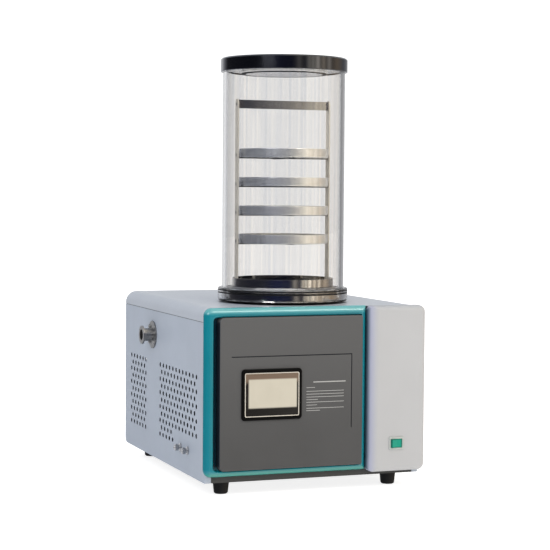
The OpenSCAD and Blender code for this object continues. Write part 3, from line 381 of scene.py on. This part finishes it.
MATERIALS = {
    "side_paint": cabinet_paint("side_paint"),
    "top_paint": grained("top_paint", (0.375, 0.405, 0.455), 0.32, 900, 0.00008, 0.02),
    "chassis_grey": grained("chassis_grey", (0.045, 0.045, 0.045), 0.5, 900, 0.0001, shine=0.3),
    "teal_bezel": fascia_teal("teal_bezel"),
    "panel_grey": fascia_grey("panel_grey"),
    "column_white": column_paint("column_white"),
    "screen_black": grained("screen_black", (0.003, 0.003, 0.003), 0.4, 900, 0.00006, shine=0.05),
    "trim_silver": steel("trim_silver", (0.60, 0.56, 0.49), 0.35, FLAT, metallic=0.15),
    "screen_face": touch_screen("screen_face"),
    "switch_grey": grained("switch_grey", (0.40, 0.43, 0.41), 0.4, 900, 0.00006, shine=0.3),
    "rocker_green": rocker_cap("rocker_green"),
    "foot_rubber": grained("foot_rubber", (0.008, 0.008, 0.009), 0.6, 700, 0.0001, shine=0.2),
    "steel_fastener": steel("steel_fastener", (0.55, 0.54, 0.52), 0.3, FLAT),
    "brushed_steel": steel("brushed_steel", (0.50, 0.485, 0.45), 0.30, UPRIGHT),
    "polished_steel": steel("polished_steel", (0.70, 0.69, 0.68), 0.07, ROUND, 0.05),
    "clear_acrylic": clear_acrylic("clear_acrylic", (0.765, 0.773, 0.793), (0.895, 0.88, 0.855)),
    "cap_black": steel("cap_black", (0.108, 0.112, 0.125), 0.13, ROUND, 0.05),
    "copper_tube": steel("copper_tube", (0.62, 0.27, 0.14), 0.3, FLAT),
    "foam": grained("foam", (0.60, 0.50, 0.28), 0.9, 250, 0.0006, 0.12),
    "compressor_black": grained("compressor_black", (0.012, 0.012, 0.012), 0.3, 500, 0.0001),
    "fin_aluminium": steel("fin_aluminium", (0.66, 0.66, 0.68), 0.35, UPRIGHT),
    "fan_black": grained("fan_black", (0.02, 0.02, 0.02), 0.5, 900, 0.0001),
    "board_green": grained("board_green", (0.02, 0.16, 0.06), 0.4, 300, 0.0002, 0.2),
    "socket_black": grained("socket_black", (0.012, 0.012, 0.012), 0.45, 900, 0.00008),
}

RACK_POST = steel("satin_post", (0.80, 0.755, 0.67), 0.32, UPRIGHT, metallic=0.45)
RACK_TRAY = tray_steel("satin_tray")
COLLAR = turned_collar("turned_collar")
SUPPORT = steel("support_steel", (0.11, 0.11, 0.11), 0.35, FLAT)
PORT_STEEL = steel("port_steel", (0.34, 0.335, 0.33), 0.28, FLAT)
FLANGE = clear_acrylic("flange_acrylic", (0.94, 0.945, 0.955), (0.985, 0.98, 0.97))
CAP_PLATE = turned_plate("turned_acrylic")
# Nodes whose finish differs a little from the rest of their slot
FINER = {
    "rack_post_left": RACK_POST, "rack_post_right": RACK_POST,
    "port_plate": PORT_STEEL, "port_nipple": PORT_STEEL,
    "trap_collar": COLLAR, "bell_flange": FLANGE, "cap_plate": CAP_PLATE,
}
for number in range(1, 5):
    FINER[f"tray_{number}"] = RACK_TRAY
    FINER[f"tray_support_{number}"] = SUPPORT


# Faces that meet at less than this many degrees are shaded as one curve
SMOOTH_BELOW = 32


def dress_nodes():
    """Gives each CAD node its own material or that of its slot, and shades curved faces
    smooth."""
    for part in frame["record"]["subparts"]:
        mesh = NODES[part["node"]].data
        mesh.materials.clear()
        mesh.materials.append(FINER.get(part["node"]) or MATERIALS[part["material_slot"]])
        for polygon in mesh.polygons:
            polygon.use_smooth = True
        mesh.set_sharp_from_angle(angle=math.radians(SMOOTH_BELOW))


# ---------------------------------------------------------------- trim

# Plain bars beside the screen: how far from its housing's right side each starts and ends,
# and how high its middle lies over the screen's, all in mm
BARS = (
    (25.8, 97.8, 21.9, 2.0), (10.9, 29.7, 10.7, 1.0), (10.9, 93.8, 3.1, 1.0),
    (10.9, 93.8, -2.8, 1.0), (10.9, 93.8, -8.7, 1.0), (10.9, 36.3, -14.1, 1.0),
    (10.9, 93.8, -19.3, 1.0), (10.9, 34.8, -25.2, 1.0), (10.9, 93.8, -31.7, 1.0),
    (10.9, 41.2, -36.5, 1.0),
)
BAR_PROUD = 0.1 * MM
# Straight pieces in each of a bar's round ends
END_STEPS = 6


def rounded_bar(mesh, x, z, width, height, face):
    """A flat bar with round ends, standing just proud of a face that looks along -Y."""
    radius = height / 2
    rim = []
    for centre, start in ((x + width - radius, -90), (x + radius, 90)):
        for step in range(END_STEPS + 1):
            angle = math.radians(start + step * 180 / END_STEPS)
            rim.append((centre + radius * math.cos(angle), z + radius * math.sin(angle)))
    front = [mesh.verts.new((a, face - BAR_PROUD, b)) for a, b in rim]
    back = [mesh.verts.new((a, face + BAR_PROUD, b)) for a, b in rim]
    mesh.faces.new(front)
    mesh.faces.new(reversed(back))
    for i in range(len(rim)):
        j = (i + 1) % len(rim)
        mesh.faces.new((front[j], front[i], back[i], back[j]))


def panel_bars():
    """Plain pale bars on the front panel, where such a machine has its few printed lines."""
    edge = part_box("screen_housing")[1].x
    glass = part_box("screen_glass")
    middle = (glass[0].z + glass[1].z) / 2
    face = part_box("front_panel")[0].y
    form = bmesh.new()
    for start, end, rise, height in BARS:
        rounded_bar(form, edge + start * MM, middle + rise * MM, (end - start) * MM,
                    height * MM, face)
    bmesh.ops.recalc_face_normals(form, faces=form.faces)
    mesh = bpy.data.meshes.new("panel_bars")
    form.to_mesh(mesh)
    form.free()
    mesh.materials.append(grained("bar_print", (0.38, 0.38, 0.37), 0.5, 900, 0.00002, shine=0.3))
    piece = bpy.data.objects.new("panel_bars", mesh)
    bpy.context.scene.collection.objects.link(piece)
    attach(piece, "root")


# ---------------------------------------------------------------- studio

# What the polished metal sees around it at the height of the bench: turns from the
# +X axis towards +Y in degrees, and the colour met there
SURROUNDINGS = (
    (0, (0.62, 0.48, 0.34)), (24, (0.24, 0.25, 0.27)), (42, (0.36, 0.36, 0.37)),
    (60, (0.60, 0.61, 0.63)), (98, (0.95, 0.96, 0.98)), (112, (0.40, 0.41, 0.44)),
    (124, (0.05, 0.05, 0.06)), (205, (0.02, 0.022, 0.035)), (235, (0.018, 0.024, 0.07)),
    (264, (0.022, 0.026, 0.06)), (270, (0.10, 0.10, 0.11)), (276, (0.42, 0.39, 0.35)),
    (281, (0.18, 0.16, 0.15)), (286, (0.05, 0.05, 0.07)), (289, (0.10, 0.10, 0.115)),
    (292, (0.50, 0.47, 0.43)), (296, (0.95, 0.86, 0.70)), (299, (0.35, 0.31, 0.26)),
    (302, (1.3, 1.2, 1.0)), (306, (0.40, 0.36, 0.30)), (313, (2.0, 1.8, 1.5)),
    (318, (0.34, 0.29, 0.24)), (325, (1.2, 1.0, 0.75)), (331, (0.32, 0.27, 0.22)),
    (338, (1.3, 1.15, 0.95)), (346, (0.34, 0.28, 0.22)),
)
# The same for what hangs over the bench and for the floor around it
CEILING = (
    (0, (0.85, 0.78, 0.66)), (60, (0.62, 0.65, 0.70)), (115, (0.62, 0.65, 0.70)),
    (150, (0.27, 0.29, 0.33)), (190, (0.38, 0.41, 0.46)), (220, (0.62, 0.68, 0.82)),
    (255, (0.86, 0.88, 0.92)), (282, (1.35, 1.27, 1.12)), (335, (1.45, 1.30, 1.06)),
)
# The walls give way to the ceiling and the floor between these sines of the slope
WALL_TOP, CEILING_FOOT = 0.14, 0.42
BACKDROP = (1.2, 1.2, 1.2)
# The floor reaches this many metres each way
FLOOR_REACH = 18
FLOOR_GREY, FLOOR_GLOW = 0.6, 0.82


def stage_object(name, mesh, material):
    """A piece of the studio, lit and seen but no part of the freeze dryer."""
    piece = bpy.data.objects.new(name, mesh)
    bpy.context.scene.collection.objects.link(piece)
    mesh.materials.append(material)
    return piece


def after_reflection(tree):
    """1 for light that the object has already mirrored once, 0 for the direct view."""
    path = tree.nodes.new("ShaderNodeLightPath")
    step = tree.nodes.new("ShaderNodeMath")
    step.operation = "GREATER_THAN"
    step.inputs[1].default_value = 0.5
    tree.links.new(path.outputs["Glossy Depth"], step.inputs[0])
    return step.outputs[0]


def pale_floor():
    """A pale floor that mirrored rays pass through, so metal shows the room's walls there."""
    mesh = bpy.data.meshes.new("floor")
    r = FLOOR_REACH
    mesh.from_pydata([(-r, -r, 0), (r, -r, 0), (r, r, 0), (-r, r, 0)], [], [(0, 1, 2, 3)])
    material, shader = new_material("floor_white")
    shader.inputs["Base Color"].default_value = (FLOOR_GREY, FLOOR_GREY, FLOOR_GREY, 1)
    shader.inputs["Roughness"].default_value = 0.9
    shader.inputs["Specular IOR Level"].default_value = 0.1
    shader.inputs["Emission Color"].default_value = (1, 1, 1, 1)
    shader.inputs["Emission Strength"].default_value = FLOOR_GLOW
    tree = material.node_tree
    gap = tree.nodes.new("ShaderNodeBsdfTransparent")
    mix = tree.nodes.new("ShaderNodeMixShader")
    tree.links.new(after_reflection(tree), mix.inputs[0])
    tree.links.new(shader.outputs["BSDF"], mix.inputs[1])
    tree.links.new(gap.outputs["BSDF"], mix.inputs[2])
    tree.links.new(mix.outputs["Shader"], tree.nodes["Material Output"].inputs["Surface"])
    stage_object("floor", mesh, material)


def around(tree, bearing, stops):
    """A colour that follows the bearing, 0..1 for a whole turn that starts along -X."""
    ramp = tree.nodes.new("ShaderNodeValToRGB")
    marks = sorted(((angle + 180) % 360 / 360, colour) for angle, colour in stops)
    marks = [(0.0, marks[0][1])] + marks + [(1.0, marks[0][1])]
    for index, (position, colour) in enumerate(marks):
        elements = ramp.color_ramp.elements
        stop = elements[index] if index < 2 else elements.new(position)
        stop.position = position
        stop.color = (*colour, 1)
    tree.links.new(bearing, ramp.inputs["Fac"])
    return ramp.outputs["Color"]


def surroundings():
    """A white backdrop for the direct view, and for light and reflections a room with dark
    and warm walls between a bright ceiling and a bright floor."""
    world = bpy.data.worlds.new("studio")
    bpy.context.scene.world = world
    world.use_nodes = True
    tree = world.node_tree
    make = tree.nodes.new
    join = tree.links.new
    place = make("ShaderNodeTexCoord")
    split = make("ShaderNodeSeparateXYZ")
    join(place.outputs["Generated"], split.inputs[0])
    tilt = make("ShaderNodeMath")
    tilt.operation = "ABSOLUTE"
    join(split.outputs["Z"], tilt.inputs[0])
    turn = make("ShaderNodeMath")
    turn.operation = "ARCTAN2"
    join(split.outputs["Y"], turn.inputs[0])
    join(split.outputs["X"], turn.inputs[1])
    whole = make("ShaderNodeMapRange")
    whole.inputs["From Min"].default_value = -math.pi
    whole.inputs["From Max"].default_value = math.pi
    join(turn.outputs[0], whole.inputs["Value"])
    bearing = whole.outputs["Result"]
    rise = make("ShaderNodeMapRange")
    rise.inputs["From Min"].default_value = WALL_TOP
    rise.inputs["From Max"].default_value = CEILING_FOOT
    join(tilt.outputs[0], rise.inputs["Value"])
    mix = make("ShaderNodeMix")
    mix.data_type = "RGBA"
    join(rise.outputs["Result"], mix.inputs["Factor"])
    join(around(tree, bearing, SURROUNDINGS), mix.inputs["A"])
    join(around(tree, bearing, CEILING), mix.inputs["B"])
    path = make("ShaderNodeLightPath")
    lit = make("ShaderNodeMath")
    lit.operation = "ADD"
    join(after_reflection(tree), lit.inputs[0])
    join(path.outputs["Diffuse Depth"], lit.inputs[1])
    lit.use_clamp = True
    view = make("ShaderNodeMix")
    view.data_type = "RGBA"
    join(lit.outputs[0], view.inputs["Factor"])
    view.inputs["A"].default_value = (*BACKDROP, 1)
    join(mix.outputs["Result"], view.inputs["B"])
    join(view.outputs["Result"], tree.nodes["Background"].inputs["Color"])


# Name, place, what it is aimed at, width and height in metres, watts, colour
LAMPS = (
    ("key", (-2.4, -2.2, 2.0), (0, 0, 0.3), (1.4, 1.4), 31, (1, 1, 1)),
    ("top", (-0.2, 0.2, 3.0), (0, 0, 0.3), (2.2, 2.2), 27, (1, 1, 1)),
    ("sheen", (0.95, -2.1, 2.1), (0, -0.3, 0.38), (1.1, 0.8), 16, (1.0, 0.96, 0.9)),
)
# The lamp that polished metal doesn't mirror
UNMIRRORED = "top"


def area_light(name, place, target, size, power, colour):
    """A soft lamp at place that shines at target."""
    lamp = bpy.data.lights.new(name, "AREA")
    lamp.shape = "RECTANGLE"
    lamp.size, lamp.size_y = size
    lamp.energy = power
    lamp.color = colour
    holder = bpy.data.objects.new(name, lamp)
    bpy.context.scene.collection.objects.link(holder)
    holder.location = place
    aim = Vector(target) - Vector(place)
    holder.rotation_euler = aim.to_track_quat("-Z", "Y").to_euler()
    holder.visible_glossy = name != UNMIRRORED


def build_studio():
    """Room, floor and lamps."""
    bpy.context.scene.view_settings.view_transform = "Standard"
    surroundings()
    pale_floor()
    for lamp in LAMPS:
        area_light(*lamp)


# The photograph's camera: where it stands, its azimuth, elevation and roll in degrees, and
# its lens and sensor in mm
CAMERA_PLACE = (-1.2597, -3.4335, 0.6203)
CAMERA_ANGLES = (-20.58, 2.92, 0.42)
LENS, SENSOR = 108.5, 36


def build_camera():
    """A long lens from the front left, a little above the deck."""
    azimuth, elevation, roll = (math.radians(a) for a in CAMERA_ANGLES)
    back = Vector((math.sin(azimuth) * math.cos(elevation),
                   -math.cos(azimuth) * math.cos(elevation), math.sin(elevation)))
    across = Vector((math.cos(azimuth), math.sin(azimuth), 0))
    upright = back.cross(across)
    right = across * math.cos(roll) + upright * math.sin(roll)
    up = back.cross(right)
    camera = bpy.data.objects.new("camera", bpy.data.cameras.new("camera"))
    bpy.context.scene.collection.objects.link(camera)
    turn = Matrix((right, up, back)).transposed().to_4x4()
    camera.matrix_world = Matrix.Translation(Vector(CAMERA_PLACE)) @ turn
    camera.data.sensor_width = SENSOR
    camera.data.lens = LENS
    bpy.context.scene.camera = camera


dress_nodes()
panel_bars()
build_studio()
build_camera()
